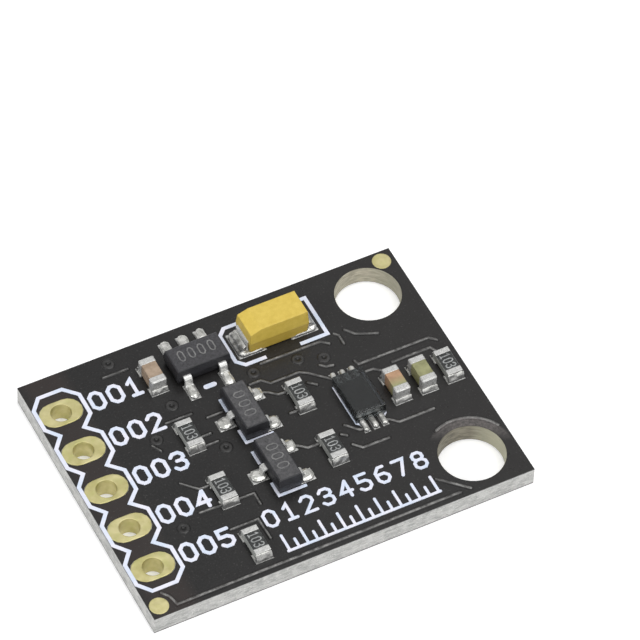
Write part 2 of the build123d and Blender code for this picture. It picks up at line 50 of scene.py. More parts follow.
# Heights and places that the part's source also has
BOARD_TOP = 1.10
BOARD_MIDDLE = 0.55
TRANSISTOR_TOP = BOARD_TOP + 1.05
REGULATOR_TOP = BOARD_TOP + 1.0
RESISTOR_TOP = BOARD_TOP + 0.49
TANTALUM_SEAM = BOARD_TOP + 0.72
VIA_PLACES = [
    (-5.55, 7.05), (-5.45, 1.85), (-3.87, 3.4), (-2.62, 0.0),
    (0.6, 3.5), (2.92, 3.3), (4.12, 2.85), (-6.6, -3.45),
]
TRACK_ROUTES = [
    [(-6.15, 6.37), (-4.82, 6.37)],
    [(-4.62, 2.55), (-3.25, 2.55)],
    [(-3.5, 1.08), (-2.93, 1.08)],
    [(-3.5, 0.5), (-2.82, 0.5)],
    [(-2.65, 2.0), (-1.85, 2.0)],
    [(-5.8, 1.6), (-5.55, 1.15)],
    [(-5.58, -1.0), (-4.9, -1.7), (-4.2, -1.7)],
    [(-5.5, -2.97), (-2.65, -3.05), (-2.65, -3.75)],
    [(-4.62, -4.5), (-3.15, -4.5), (-3.12, -5.75)],
    [(0.1, 2.92), (0.7, 2.92), (1.05, 2.56), (2.6, 2.56), (3.0, 2.3), (3.95, 1.4)],
    [(0.3, 2.3), (0.7, 2.1), (1.08, 1.78), (1.7, 1.75)],
    [(2.7, 1.8), (3.05, 1.5)],
    [(1.08, 0.5), (1.8, 0.47)],
    [(1.15, 3.84), (4.4, 3.8), (4.75, 3.5)],
    [(5.22, 3.95), (5.4, 3.75), (5.4, 3.2)],
    [(5.8, 3.95), (6.15, 3.5), (7.2, 3.05)],
    [(5.37, 2.0), (5.45, 1.74), (9.3, 1.72), (9.62, 1.42)],
    [(4.97, 1.2), (5.95, 1.17), (6.3, 0.9), (6.39, 0.4)],
    [(7.0, 1.15), (9.08, 1.15), (9.3, 0.7)],
    [(3.72, 2.5), (3.95, 2.3), (4.3, 2.22)],
    [(3.12, -1.28), (3.66, -1.86), (3.97, -1.88)],
    [(2.72, -1.72), (2.95, -1.9)],
    [(5.0, -1.8), (5.3, -1.95), (5.62, -2.27), (7.5, -2.27)],
    [(2.95, -2.5), (3.3, -2.88), (4.72, -2.9)],
    [(0.3, -1.3), (0.62, -1.5), (0.92, -1.75), (1.7, -1.75)],
    [(-9.2, -6.4), (-8.93, -6.75), (-8.8, -7.3), (6.3, -7.3)],
    [(5.6, -6.1), (6.85, -7.3)],
]
TRANSISTOR_PLACES = [(-1.0, 1.27), (-1.0, -2.25)]
REGULATOR_PLACE = (-1.66, 5.15)
RESISTOR_PLACES = [(-3.97, 1.28), (-3.95, -2.31), (-3.95, -5.84), (1.93, 1.2), (1.93, -2.33), (9.3, -0.27)]
SCREW_HOLES = [(7.9, 5.46), (7.9, -5.46)]
HOLE_X = SCREW_HOLES[0][0]
FRONT_HOLE = SCREW_HOLES[1]
PIN_ROW_X = -8.89

# Thickness of the ink, which the part's source also has, and of the marks on the packages
INK = 0.025
MARK = 0.004

# Ridges of the tracks: width, height and where the pale highlight painted on their crest starts
RIDGE_WIDTH = 0.24
RIDGE_HEIGHT = 0.038
CREST_LOW = 0.032

# Behind the front screw hole: the radius where the copper begins, the arc in degrees over which its edge
# shows as a ridge, and the direction from the hole in which a pale highlight is painted on the lacquer
COPPER_REACH = 2.15
COPPER_ARC = range(26, 117, 10)
HIGHLIGHT_DIRECTION = (0.42, 0.91, 0)
COPPER_EDGE = [
    (
        FRONT_HOLE[0] + COPPER_REACH * math.cos(math.radians(angle)),
        FRONT_HOLE[1] + COPPER_REACH * math.sin(math.radians(angle)),
    )
    for angle in COPPER_ARC
]


def srgb(red, green, blue):
    """A colour as a screen shows it, 0 to 255, in the linear numbers that the shader takes."""
    def linear(value):
        value /= 255
        return value / 12.92 if value <= 0.04045 else ((value + 0.055) / 1.055) ** 2.4
    return linear(red), linear(green), linear(blue)


class Look:
    """A procedural material: one principled shader, with textures placed in mm."""

    def __init__(self, name, colour, roughness, **sockets):
        self.material = bpy.data.materials.new(name)
        self.material.use_nodes = True
        self.nodes = self.material.node_tree.nodes
        self.links = self.material.node_tree.links
        self.shader = self.nodes["Principled BSDF"]
        self.set(self.shader, "Base Color", (*colour, 1))
        self.set(self.shader, "Roughness", roughness)
        for socket, value in sockets.items():
            self.set(self.shader, socket.replace("_", " "), value)
        self.material.diffuse_color = (*colour, 1)
        self.place = self.math("SCALE", self.add("ShaderNodeTexCoord").outputs["Object"], scale=1 / MM)

    def add(self, kind, **values):
        """A new node with these properties."""
        node = self.nodes.new(kind)
        for key, value in values.items():
            setattr(node, key, value)
        return node

    def set(self, node, socket, value):
        """Links a socket to another, or gives it its number or colour."""
        if isinstance(value, bpy.types.NodeSocket):
            self.links.new(value, node.inputs[socket])
        else:
            node.inputs[socket].default_value = value

    def math(self, operation, first, second=None, scale=None):
        """Vector arithmetic on places in mm."""
        node = self.add("ShaderNodeVectorMath", operation=operation)
        self.set(node, 0, first)
        if second is not None:
            self.set(node, 1, second)
        if scale is not None:
            self.set(node, "Scale", scale)
        return node.outputs["Value" if operation in ("LENGTH", "DISTANCE", "DOT_PRODUCT") else "Vector"]

    def sum(self, operation, first, second=0.5):
        """Arithmetic on numbers."""
        node = self.add("ShaderNodeMath", operation=operation)
        self.set(node, 0, first)
        self.set(node, 1, second)
        return node.outputs[0]

    def noise(self, size, detail=3.0, roughness=0.55, stretch=(1, 1, 1), distortion=0.0):
        """Cloudy noise with features of about that size in mm."""
        node = self.add("ShaderNodeTexNoise")
        self.set(node, "Vector", self.math("MULTIPLY", self.place, stretch))
        for socket, value in (("Scale", 1 / size), ("Detail", detail), ("Roughness", roughness)):
            self.set(node, socket, value)
        self.set(node, "Distortion", distortion)
        return node.outputs["Fac"]

    def level(self, value, low, high, to_low=0.0, to_high=1.0):
        """Spreads a number's range from low to high over another range, cut off at both ends."""
        node = self.add("ShaderNodeMapRange")
        for index, number in enumerate((value, low, high, to_low, to_high)):
            self.set(node, index, number)
        return node.outputs[0]

    def mix(self, share, first, second):
        """The first colour turning to the second as the share goes to 1."""
        node = self.add("ShaderNodeMix", data_type="RGBA")
        self.set(node, 0, share)
        self.set(node, 6, first if isinstance(first, bpy.types.NodeSocket) else (*first, 1))
        self.set(node, 7, second if isinstance(second, bpy.types.NodeSocket) else (*second, 1))
        return node.outputs[2]

    def rounded(self, radius):
        """Normals that round the edges off, with a radius in mm."""
        node = self.add("ShaderNodeBevel", samples=6)
        self.set(node, "Radius", radius * MM)
        return node.outputs[0]

    def bump(self, height, depth, normal=None):
        """Relief of that depth in mm where the height goes from 0 to 1."""
        node = self.add("ShaderNodeBump")
        self.set(node, "Height", height)
        self.set(node, "Distance", depth * MM)
        self.set(node, "Strength", 1.0)
        if normal is not None:
            self.set(node, "Normal", normal)
        return node.outputs[0]

    def wear(self, **sockets):
        """Links textures to the shader's sockets."""
        for socket, value in sockets.items():
            self.set(self.shader, socket.replace("_", " "), value)
        return self.material

    def across(self):
        """The three coordinates of a place in mm."""
        node = self.add("ShaderNodeSeparateXYZ")
        self.set(node, 0, self.place)
        return node.outputs

    def facing_up(self, low, high):
        """1 on faces that look up, 0 on steep ones, between the two heights of their normal."""
        node = self.add("ShaderNodeSeparateXYZ")
        self.set(node, 0, self.add("ShaderNodeNewGeometry").outputs["Normal"])
        return self.level(node.outputs[2], low, high)


def solder_mask_look(name="solder_mask", ridge=0.0):
    """Black lacquer; ridge is how far a crest turns pale: a painted highlight, and partly the lacquer lying
    thin over copper.
    """
    look = Look(name, srgb(28, 27, 27), 0.36, Specular_IOR_Level=0.42)
    x, _, z = look.across()
    weave = look.noise(0.55, detail=2)
    cloud = look.noise(4.0, detail=2)
    by_pins = look.level(look.sum("ABSOLUTE", look.sum("SUBTRACT", x, PIN_ROW_X)), 0.7, 1.35, 1.0, 0.0)
    colour = look.mix(cloud, srgb(19, 19, 19), srgb(29, 28, 28))
    to_right = look.level(x, -6.0, 9.0)
    colour = look.mix(look.sum("MULTIPLY", to_right, 0.6), colour, srgb(40, 38, 37))
    colour = look.mix(look.sum("MULTIPLY", by_pins, 0.7), colour, srgb(50, 41, 38))
    # Behind the front screw hole a broken pale band, a painted highlight, lies on the lacquer out to the edge
    # of the copper
    from_hole = look.math("MULTIPLY", look.math("SUBTRACT", look.place, (*FRONT_HOLE, 0)), (1, 1, 0))
    ring = look.level(look.math("LENGTH", from_hole), COPPER_REACH - 0.06, COPPER_REACH + 0.06, 1.0, 0.0)
    behind = look.level(look.math("DOT_PRODUCT", from_hole, HIGHLIGHT_DIRECTION), 0.75, 1.6)
    painted_highlight = look.level(look.noise(0.22, detail=3), 0.34, 0.6, 0.45, 1.0)
    painted_highlight = look.sum("MULTIPLY", look.sum("MULTIPLY", ring, behind), painted_highlight)
    colour = look.mix(painted_highlight, colour, srgb(106, 101, 99))
    if ridge:
        # The crest of a ridge is painted pale in broken patches: a painted highlight, partly the lacquer
        # lying thin over copper
        painted_crest = look.level(z, BOARD_TOP + CREST_LOW, BOARD_TOP + RIDGE_HEIGHT, 0.0, ridge)
        broken = look.level(look.noise(0.35, detail=2), 0.36, 0.6, 0.25, 1.0)
        colour = look.mix(look.sum("MULTIPLY", painted_crest, broken), colour, srgb(150, 149, 147))
    grain = look.level(look.noise(0.1, detail=3), 0.4, 0.66, 0.0, 0.5)
    colour = look.mix(grain, colour, srgb(42, 41, 41))
    dust = look.level(look.noise(0.09, detail=1), 0.66, 0.74)
    colour = look.mix(look.sum("MULTIPLY", dust, 0.35), colour, srgb(84, 83, 82))
    relief = look.bump(weave, 0.006, normal=look.rounded(0.03))
    relief = look.bump(look.noise(0.06, detail=2), 0.0012, normal=relief)
    rough = look.level(look.noise(1.1), 0.3, 0.7, 0.26, 0.42)
    return look.wear(Base_Color=colour, Normal=relief, Roughness=rough)


def fibreglass_look():
    """Sawn edge of the laminate, with its bundles of fibres, and the drilled walls of the screw holes."""
    look = Look("fibreglass", srgb(190, 190, 184), 0.62)
    bundles = look.noise(0.16, detail=3, stretch=(0.45, 0.45, 2.6))
    specks = look.level(look.noise(0.07, detail=2, stretch=(0.7, 0.7, 1.2)), 0.6, 0.68)
    blotches = look.level(look.noise(0.5, detail=3), 0.42, 0.62)
    colour = look.mix(look.level(bundles, 0.35, 0.65), srgb(156, 157, 155), srgb(200, 200, 197))
    colour = look.mix(look.sum("MULTIPLY", blotches, 0.4), colour, srgb(222, 221, 218))
    colour = look.mix(look.sum("MULTIPLY", specks, 0.6), colour, srgb(242, 241, 238))
    dark = look.level(look.noise(0.11, detail=2, stretch=(0.6, 0.6, 1.5)), 0.64, 0.72)
    colour = look.mix(look.sum("MULTIPLY", dark, 0.6), colour, srgb(112, 111, 108))
    # The drilled walls are browner, with light and shade painted on them: the front one is painted dark and
    # turns pale towards the board's end, the rear one is painted paler and turns darker there
    near = [look.math("DISTANCE", look.place, (*hole, BOARD_MIDDLE)) for hole in SCREW_HOLES]
    in_hole = look.level(look.sum("MINIMUM", *near), 1.75, 1.85, 1.0, 0.0)
    streaks = look.level(look.noise(0.2, detail=3, stretch=(0.4, 0.4, 2.0)), 0.35, 0.65)
    x, y, _ = look.across()
    painted_shading_to_end = look.level(x, HOLE_X + 0.7, HOLE_X + 1.6, 0.0, 0.7)
    front = look.mix(streaks, srgb(112, 107, 93), srgb(152, 147, 130))
    front = look.mix(painted_shading_to_end, front, srgb(204, 202, 176))
    rear = look.mix(streaks, srgb(160, 154, 136), srgb(202, 197, 178))
    rear = look.mix(painted_shading_to_end, rear, srgb(158, 156, 137))
    colour = look.mix(in_hole, colour, look.mix(look.level(y, -1.0, 1.0), front, rear))
    relief = look.bump(bundles, 0.035)
    relief = look.bump(look.noise(0.05, detail=2), 0.01, normal=relief)
    return look.wear(Base_Color=colour, Normal=relief)


def gold_look():
    """Pale, matt gold plating with a green cast in places."""
    look = Look("gold_plate", srgb(212, 203, 148), 0.4, Metallic=0.72)
    tone = look.noise(0.8, detail=3)
    colour = look.mix(look.level(tone, 0.35, 0.65), srgb(198, 190, 130), srgb(222, 213, 160))
    green = look.level(look.noise(0.5, detail=1), 0.5, 0.7)
    colour = look.mix(look.sum("MULTIPLY", green, 0.35), colour, srgb(196, 197, 124))
    pits = look.noise(0.05, detail=2)
    relief = look.bump(look.noise(0.35, detail=1), 0.012, normal=look.rounded(0.06))
    relief = look.bump(pits, 0.003, normal=relief)
    rough = look.level(look.noise(0.3), 0.3, 0.7, 0.3, 0.48)
    return look.wear(Base_Color=colour, Normal=relief, Roughness=rough)


def ink_look(name="white_ink", edge=0.02):
    """White ink with a blue cast, thin in spots; edge is the radius of its rounded edges."""
    look = Look(name, srgb(222, 228, 240), 0.6)
    tone = look.noise(0.7, detail=2)
    colour = look.mix(look.level(tone, 0.35, 0.65), srgb(212, 222, 240), srgb(232, 232, 244))
    thin = look.level(look.noise(0.07, detail=2), 0.68, 0.78)
    colour = look.mix(look.sum("MULTIPLY", thin, 0.35), colour, srgb(140, 146, 160))
    relief = look.bump(look.noise(0.06, detail=2), 0.008, normal=look.rounded(edge) if edge else None)
    return look.wear(Base_Color=colour, Normal=relief)


def solder_look():
    """Bright solder with frosted patches; its steep faces are greyer, a painted shade."""
    look = Look("solder", srgb(212, 212, 207), 0.3, Metallic=0.68)
    cloud = look.level(look.noise(0.3, detail=3), 0.38, 0.64)
    colour = look.mix(cloud, srgb(196, 196, 191), srgb(224, 223, 219))
    frost = look.level(look.noise(0.12, detail=2), 0.58, 0.74)
    colour = look.mix(look.sum("MULTIPLY", frost, 0.3), colour, srgb(168, 168, 162))
    # Painted shade: faces turn greyer as they grow steep, against those that look up
    colour = look.mix(look.facing_up(0.3, 0.85), srgb(146, 146, 145), colour)
    relief = look.bump(look.noise(0.4, detail=1, distortion=0.5), 0.03)
    relief = look.bump(look.noise(0.07, detail=1), 0.0007, normal=relief)
    rough = look.level(look.noise(0.3), 0.35, 0.65, 0.2, 0.36)
    return look.wear(Base_Color=colour, Normal=relief, Roughness=rough)


def tin_look():
    """Satin tin plating."""
    look = Look("tin_plate", srgb(206, 206, 203), 0.36, Metallic=0.5)
    cloud = look.level(look.noise(0.16, detail=3), 0.35, 0.65)
    colour = look.mix(cloud, srgb(196, 196, 194), srgb(216, 216, 214))
    relief = look.bump(look.noise(0.2, detail=1), 0.008, normal=look.rounded(0.05))
    relief = look.bump(look.noise(0.05, detail=1), 0.0006, normal=relief)
    rough = look.level(look.noise(0.1), 0.35, 0.65, 0.22, 0.4)
    return look.wear(Base_Color=colour, Normal=relief, Roughness=rough)


def moulding_look(
        name, dark, light, rough_low, rough_high, grain=0.05, depth=0.008, radius=0.04, top=None, seam=None):
    """Moulding compound; top is the two tones of a sheen painted on its upper faces, seam its parting line's
    height and tone.
    """
    look = Look(name, light, rough_high)
    cloud = look.level(look.noise(0.35, detail=4), 0.35, 0.65)
    colour = look.mix(cloud, dark, light)
    if seam:
        height, tone = seam
        from_seam = look.sum("SUBTRACT", look.across()[2], height)
        line = look.level(look.sum("ABSOLUTE", from_seam), 0.012, 0.045, 0.6, 0.0)
        below = look.level(from_seam, -0.05, 0.0, 0.3, 0.0)
        colour = look.mix(look.sum("MAXIMUM", line, below), colour, tone)
    if top:
        # The upper faces are painted lighter, in speckled tones: a painted sheen
        speckle = look.level(look.noise(0.13, detail=4, roughness=0.7), 0.32, 0.68)
        colour = look.mix(look.facing_up(0.8, 0.97), colour, look.mix(speckle, *top))
    fleck = look.level(look.noise(0.04, detail=1), 0.66, 0.78)
    pale = tuple(min(1, 1.7 * part + 0.01) for part in light)
    colour = look.mix(look.sum("MULTIPLY", fleck, 0.35), colour, pale)
    relief = look.bump(look.noise(grain, detail=3), depth, normal=look.rounded(radius))
    rough = look.level(look.noise(0.3), 0.3, 0.7, rough_low, rough_high)
    return look.wear(Base_Color=colour, Normal=relief, Roughness=rough)


def black_moulding_look(name, *top):
    """Black moulding compound; its packages differ only in the two tones of the sheen painted on their tops.
    """
    return moulding_look(
        name, srgb(36, 36, 39), srgb(46, 46, 50), 0.42, 0.56, grain=0.07, depth=0.014, top=top)


def ceramic_look(name, dark, light, roughness=0.34, front=None):
    """Fired ceramic; front is where along Y it starts and ends turning to another tone, and that tone."""
    look = Look(name, light, roughness)
    colour = look.mix(look.level(look.noise(0.3, detail=4), 0.35, 0.65), dark, light)
    if front:
        start, end, tone = front
        colour = look.mix(look.level(look.across()[1], start, end), colour, tone)
    specks = look.level(look.noise(0.035, detail=1), 0.64, 0.74)
    colour = look.mix(look.sum("MULTIPLY", specks, 0.3), colour, tuple(part * 0.55 for part in dark))
    relief = look.bump(look.noise(0.05, detail=2), 0.004, normal=look.rounded(0.03))
    rough = look.level(look.noise(0.2), 0.3, 0.7, roughness - 0.06, roughness + 0.1)
    return look.wear(Base_Color=colour, Normal=relief, Roughness=rough)


def resin_look():
    """Clear resin with a faint grey tint."""
    look = Look("clear_resin", srgb(122, 127, 128), 0.08, Transmission_Weight=1.0, IOR=1.55)
    relief = look.bump(look.noise(0.6, detail=2), 0.004, normal=look.rounded(0.03))
    rough = look.level(look.noise(0.25), 0.3, 0.7, 0.06, 0.16)
    colour = look.mix(look.noise(0.7), srgb(112, 117, 118), srgb(132, 137, 138))
    return look.wear(Base_Color=colour, Normal=relief, Roughness=rough)


LOOKS = {
    "solder_mask": solder_mask_look(),
    "fibreglass": fibreglass_look(),
    "gold_plate": gold_look(),
    "white_ink": ink_look(),
    "solder": solder_look(),
    "tin_plate": tin_look(),
    "black_moulding": black_moulding_look("black_moulding", srgb(52, 52, 54), srgb(88, 87, 89)),
    "regulator_moulding": black_moulding_look("regulator_moulding", srgb(42, 42, 44), srgb(72, 71, 75)),
    "yellow_moulding": moulding_look(
        "yellow_moulding", srgb(208, 180, 76), srgb(218, 191, 88), 0.36, 0.5, grain=0.12, depth=0.004,
        radius=0.07, seam=(TANTALUM_SEAM, srgb(172, 138, 44)),
    ),
    "white_ceramic": ceramic_look("white_ceramic", srgb(150, 152, 148), srgb(176, 178, 174), 0.5),
    "resistor_coat": ceramic_look("resistor_coat", srgb(42, 44, 44), srgb(56, 58, 57), 0.26),
    "brown_ceramic": ceramic_look("brown_ceramic", srgb(150, 130, 110), srgb(172, 152, 132)),
    "orange_ceramic": ceramic_look(
        "orange_ceramic", srgb(164, 130, 102), srgb(188, 150, 118),
        front=(-0.2, -0.75, srgb(152, 153, 112)),
    ),
    "olive_ceramic": ceramic_look("olive_ceramic", srgb(132, 132, 94), srgb(156, 156, 114)),
    "clear_resin": resin_look(),
    "sensor_die": ceramic_look("sensor_die", srgb(100, 101, 101), srgb(120, 121, 121), 0.3),
}
for row in frame["record"]["subparts"]:
    for holder in nodes[row["node"]].material_slots:
        holder.material = LOOKS[row["material_slot"]]
# The regulator's top gets a darker painted sheen than those of the transistors
nodes["regulator_body"].material_slots[0].material = LOOKS["regulator_moulding"]

# Looks of the added pieces; the ink strokes need no rounding, as their edges are modelled
STROKE_INK = ink_look("stroke_ink", edge=0.0)
# The track ridges and the via collars get pale crests: painted highlights
RIDGE_MASK = solder_mask_look("ridge_mask", ridge=0.8)
VIA_MASK = solder_mask_look("via_mask", ridge=0.1)
LASER_MARK = moulding_look("laser_mark", srgb(100, 100, 101), srgb(132, 132, 131), 0.5, 0.7)
COAT_PRINT = ceramic_look("coat_print", srgb(136, 138, 138), srgb(176, 178, 178), 0.4)


# Print: strokes of ink with round ends. Each digit is one line or two, in shares of its height

DIGITS = {
    "0": [[(0.2, 0), (0.42, 0), (0.62, 0.2), (0.62, 0.8), (0.42, 1), (0.2, 1), (0, 0.8), (0, 0.2), (0.2, 0)]],
    "1": [[(0.08, 0.78), (0.32, 1), (0.32, 0)], [(0.08, 0), (0.56, 0)]],
    "2": [[(0, 0.82), (0.18, 1), (0.44, 1), (0.62, 0.82), (0.62, 0.62), (0, 0), (0.62, 0)]],
    "3": [[(0, 0.84), (0.16, 1), (0.46, 1), (0.62, 0.84), (0.62, 0.68), (0.46, 0.53), (0.22, 0.53)],
          [(0.46, 0.53), (0.62, 0.38), (0.62, 0.16), (0.46, 0), (0.16, 0), (0, 0.16)]],
    "4": [[(0.48, 1), (0, 0.32), (0.64, 0.32)], [(0.48, 0), (0.48, 1)]],
    "5": [[(0.58, 1), (0.04, 1), (0.02, 0.58), (0.42, 0.58), (0.62, 0.42), (0.62, 0.18), (0.44, 0), (0.16, 0),
           (0, 0.14)]],
    "6": [[(0.54, 1), (0.26, 1), (0, 0.7), (0, 0.2), (0.18, 0), (0.44, 0), (0.62, 0.2), (0.62, 0.38),
           (0.44, 0.56)],
          [(0.44, 0.56), (0.04, 0.56)]],
    "7": [[(0, 1), (0.62, 1), (0.2, 0)]],
    "8": [[(0.16, 0), (0.46, 0), (0.62, 0.16), (0.62, 0.38), (0.46, 0.54), (0.16, 0.54), (0, 0.38), (0, 0.16),
           (0.16, 0)],
          [(0.16, 0.54), (0.04, 0.68), (0.04, 0.86), (0.18, 1), (0.44, 1), (0.58, 0.86), (0.58, 0.68),
           (0.46, 0.54)]],
}


def digit_strokes(text, origin, height, pitch, reading=(1, 0), squeeze=1.0):
    """The strokes of a number: origin is the foot of its first digit, reading the way it is read."""
    along = Vector(reading)
    up = Vector((-along.y, along.x))
    return [
        [Vector(origin) + along * (index * pitch + x * height * squeeze) + up * (y * height) for x, y in line]
        for index, digit in enumerate(text)
        for line in DIGITS[digit]
    ]


def new_piece(name, mesh_maker, look):
    """A piece made by a function that fills a bmesh in mm, riding on the board."""
    made = bmesh.new()
    mesh_maker(made)
    bmesh.ops.scale(made, vec=(MM, MM, MM), verts=made.verts)
    mesh = bpy.data.meshes.new(name)
    made.to_mesh(mesh)
    made.free()
    piece = bpy.data.objects.new(name, mesh)
    bpy.context.scene.collection.objects.link(piece)
    mesh.materials.append(look)
    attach(piece, "root")
    return piece


# Side of a stroke from its foot up: shares of half its width and of its thickness
PRINT_EDGE = ((1.0, 0.0), (0.97, 0.6), (0.86, 1.0))
RIDGE_EDGE = ((1.0, 0.0), (0.86, 0.2), (0.7, 0.46), (0.5, 0.72), (0.3, 0.9), (0.12, 1.0))
# Steps of its half round ends, the limit for its mitres, and the distance at which points are one
END_STEPS = 8
MITRE_LIMIT = 0.45
TOUCHING = 0.00001
# Each stroke of a piece is this much thicker than the one before, so that crossings share no face
STROKE_STEP = 0.0004


def ribbon(made, line, width, bottom, thickness, edge=PRINT_EDGE):
    """One stroke: mitred along its bends, with a half round at both ends and a shaped edge."""
    line = [Vector(point) for point in line]
    closed = (line[0] - line[-1]).length < TOUCHING
    directions = [(b - a).normalized() for a, b in zip(line, line[1:])]
    to_start, from_end = (directions[-1], directions[0]) if closed else (directions[0], directions[-1])
    rails = []
    for index, point in enumerate(line):
        before = directions[index - 1] if index > 0 else to_start
        after = directions[index] if index < len(directions) else from_end
        middle = (before + after).normalized()
        across = Vector((-middle.y, middle.x))
        reach = 1 / max(MITRE_LIMIT, across.dot(Vector((-after.y, after.x))))
        rails.append((point, across * reach))
    shoulders = [(width / 2 * share, thickness * rise) for share, rise in edge]
    rows = []
    for point, across in rails:
        row = []
        for reach, rise in shoulders:
            row.append(made.verts.new((*(point + across * reach), bottom + rise)))
        for reach, rise in reversed(shoulders):
            row.append(made.verts.new((*(point - across * reach), bottom + rise)))
        rows.append(row)
    used = [vertex for row in rows for vertex in row]
    for first, second in zip(rows, rows[1:]):
        for index in range(len(first)):
            after = (index + 1) % len(first)
            made.faces.new((first[index], first[after], second[after], second[index]))
    ends = () if closed else ((line[0], -directions[0]), (line[-1], directions[-1]))
    for point, direction in ends:
        side = Vector((-direction.y, direction.x))
        rings = []
        for reach, rise in shoulders:
            ring = []
            for step in range(END_STEPS + 1):
                turn = math.pi * step / END_STEPS
                spot = point + reach * (side * math.cos(turn) + direction * math.sin(turn))
                ring.append(made.verts.new((*spot, bottom + rise)))
            rings.append(ring)
        for lower, upper in zip(rings, rings[1:]):
            for step in range(END_STEPS):
                made.faces.new((lower[step], upper[step], upper[step + 1], lower[step + 1]))
        made.faces.new(rings[-1][::-1])
        made.faces.new(rings[0])
        used += [vertex for ring in rings for vertex in ring]
    bmesh.ops.remove_doubles(made, verts=used, dist=TOUCHING)


def print_strokes(name, strokes, width, bottom, thickness, look, edge=PRINT_EDGE):
    """One piece of many strokes."""
    def fill(made):
        for index, line in enumerate(strokes):
            ribbon(made, line, width, bottom, thickness + STROKE_STEP * index, edge)
    return new_piece(name, fill, look)


# Numbers beside the pin pads
PIN_NUMBER_X = -7.3
PIN_NUMBER_FEET = (4.75, 2.35, -0.25, -2.8, -5.3)
PIN_NUMBER_SIZE = 0.98
PIN_NUMBER_STROKE = 0.2
for number, foot in enumerate(PIN_NUMBER_FEET, start=1):
    lines = digit_strokes(f"{number:03d}", (PIN_NUMBER_X, foot), PIN_NUMBER_SIZE, PIN_NUMBER_SIZE)
    print_strokes(f"pin_number_{number}", lines, PIN_NUMBER_STROKE, BOARD_TOP, INK, STROKE_INK)

# A millimetre scale along the front, numbered from 0
SCALE_START, SCALE_END = -2.62, 8
SCALE_LINE_Y, SHORT_TICK_Y, LONG_TICK_Y, SCALE_DIGIT_Y = -6.82, -6.3, -5.86, -5.2
SCALE_OVERHANG = 0.08
SCALE_DIGIT_LEFT, SCALE_DIGIT_HEIGHT = 0.28, 0.92
SCALE_DIGIT_STROKE, SCALE_TICK_STROKE = 0.17, 0.15
scale_digits = []
scale_ticks = []
for number in range(SCALE_END + 1):
    centre = SCALE_START + number
    scale_digits += digit_strokes(
        str(number), (centre - SCALE_DIGIT_LEFT, SCALE_DIGIT_Y), SCALE_DIGIT_HEIGHT, 1)
    scale_ticks.append([(centre, SCALE_LINE_Y), (centre, LONG_TICK_Y)])
    if number < SCALE_END:
        scale_ticks.append([(centre + 0.5, SCALE_LINE_Y), (centre + 0.5, SHORT_TICK_Y)])
scale_ticks.append([
    (SCALE_START - SCALE_OVERHANG, SCALE_LINE_Y), (SCALE_START + SCALE_END + SCALE_OVERHANG, SCALE_LINE_Y),
])
print_strokes("scale_numbers", scale_digits, SCALE_DIGIT_STROKE, BOARD_TOP, INK, STROKE_INK)
print_strokes("scale_ticks", scale_ticks, SCALE_TICK_STROKE, BOARD_TOP, INK, STROKE_INK)


# Vias: the mask sinks into each bore inside a low round collar

# Radius, and height over the board, from the foot inwards
VIA_PROFILE = [
    (0.35, -0.045), (0.35, 0.0), (0.335, 0.014), (0.305, 0.03), (0.26, 0.038), (0.2, 0.039),
    (0.15, 0.034), (0.113, 0.0265), (0.104, 0.005), (0.09, -0.012), (0.06, -0.027), (0.02, -0.031),
]
VIA_TURNS = 28


def via(made, place):
    """The profile turned round the via's axis, closed at both ends."""
    rings = []
    for radius, height in VIA_PROFILE:
        rings.append([
            made.verts.new((
                place[0] + radius * math.cos(2 * math.pi * step / VIA_TURNS),
                place[1] + radius * math.sin(2 * math.pi * step / VIA_TURNS),
                BOARD_TOP + height,
            ))
            for step in range(VIA_TURNS)
        ])
    for outer, inner in zip(rings, rings[1:]):
        for step in range(VIA_TURNS):
            after = (step + 1) % VIA_TURNS
            made.faces.new((outer[step], outer[after], inner[after], inner[step]))
    made.faces.new(rings[-1])
    made.faces.new(rings[0][::-1])


def all_vias(made):
    """The collars of all vias."""
    for place in VIA_PLACES:
        via(made, place)


CRISP_ANGLE = math.radians(60)


def smooth(piece):
    """Smooth shading that keeps the crisp edge of the foot."""
    for face in piece.data.polygons:
        face.use_smooth = True
    piece.data.set_sharp_from_angle(angle=CRISP_ANGLE)


smooth(new_piece("via_collars", all_vias, VIA_MASK))
smooth(print_strokes(
    "track_ridges", [*TRACK_ROUTES, COPPER_EDGE], RIDGE_WIDTH, BOARD_TOP, RIDGE_HEIGHT, RIDGE_MASK,
    RIDGE_EDGE,
))


# Plain marks on the packages and plain values on the resistors
MARK_STROKE, VALUE_STROKE = 0.07, 0.062
TO_FRONT = (0, -1)
for number, (x, y) in enumerate(TRANSISTOR_PLACES, start=1):
    lines = digit_strokes(
        "000", (x - 0.28, y + 0.78), height=0.56, pitch=0.6, reading=TO_FRONT, squeeze=0.9)
    print_strokes(
        f"transistor_mark_{number}", lines, MARK_STROKE, TRANSISTOR_TOP, MARK, LASER_MARK)
x, y = REGULATOR_PLACE
lines = digit_strokes("0000", (x - 0.95, y - 0.22), height=0.62, pitch=0.54, squeeze=0.7)
print_strokes("regulator_mark", lines, MARK_STROKE, REGULATOR_TOP, MARK, LASER_MARK)
for number, (x, y) in enumerate(RESISTOR_PLACES, start=1):
    lines = digit_strokes(
        "103", (x - 0.25, y + 0.4), height=0.5, pitch=0.31, reading=TO_FRONT, squeeze=0.64)
    print_strokes(
        f"resistor_value_{number}", lines, VALUE_STROKE, RESISTOR_TOP, MARK, COAT_PRINT)


# Solder: each joint is drawn round as molten metal sets, and stands for its node

# Grid and smoothing that round a joint off, and the gap that its faces are joined over
VOXEL = 0.026
SMOOTHING = 0.6
JOIN = 0.0005
# Size of a mound against its joint, along and across the board
MOUND_SPREAD = (1.02, 1.08)
# How deep a joint goes into its land, and the height over which its ripples fade out
SINK = 0.01
CALM_FOOT = 0.1
# Ripples: waves per mm, and their height
RIPPLES = ((3.5, 0.03), (9, 0.004))


